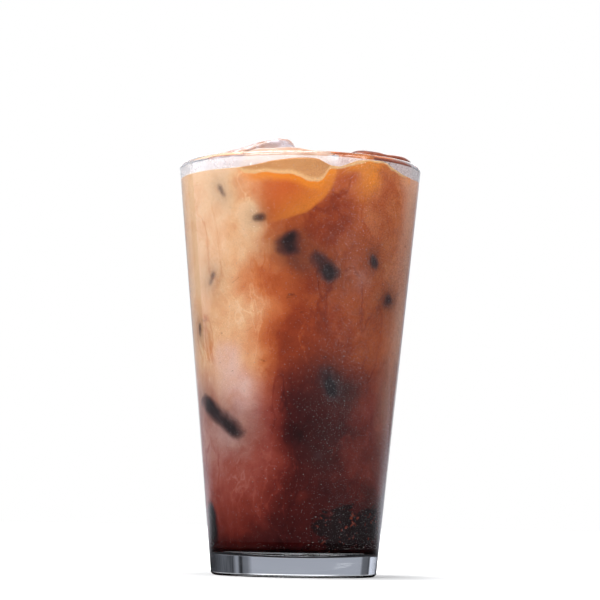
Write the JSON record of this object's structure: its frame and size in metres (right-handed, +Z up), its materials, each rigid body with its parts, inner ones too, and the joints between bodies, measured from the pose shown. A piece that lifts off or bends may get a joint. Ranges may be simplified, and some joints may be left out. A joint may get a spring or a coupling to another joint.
{
  "type": "iced coffee",
  "caption": "Iced coffee with milk in a tapered clear pint glass, with blocks of ice that stand out of the drink and over the rim.",
  "frame": {"origin": "centre of the foot of the glass, on the surface that it stands on", "axes": "+Z up along the axis of the glass, -Y towards the pictured side, +X to the right as pictured"},
  "size_m": [0.0888, 0.0888, 0.1595],
  "materials": {
    "clear_glass": "clear and polished, fogged with fine condensation on the outside",
    "milky_coffee": "opaque drink with a smooth surface",
    "clear_ice": "clear ice with wet, rounded edges"
  },
  "bodies": {
    "root": {"glass": "clear_glass", "coffee": "milky_coffee", "ice_front": "clear_ice", "ice_tall": "clear_ice", "ice_right": "clear_ice", "ice_chip": "clear_ice", "ice_back_left": "clear_ice", "ice_back_right": "clear_ice"}
  },
  "joints": []
}
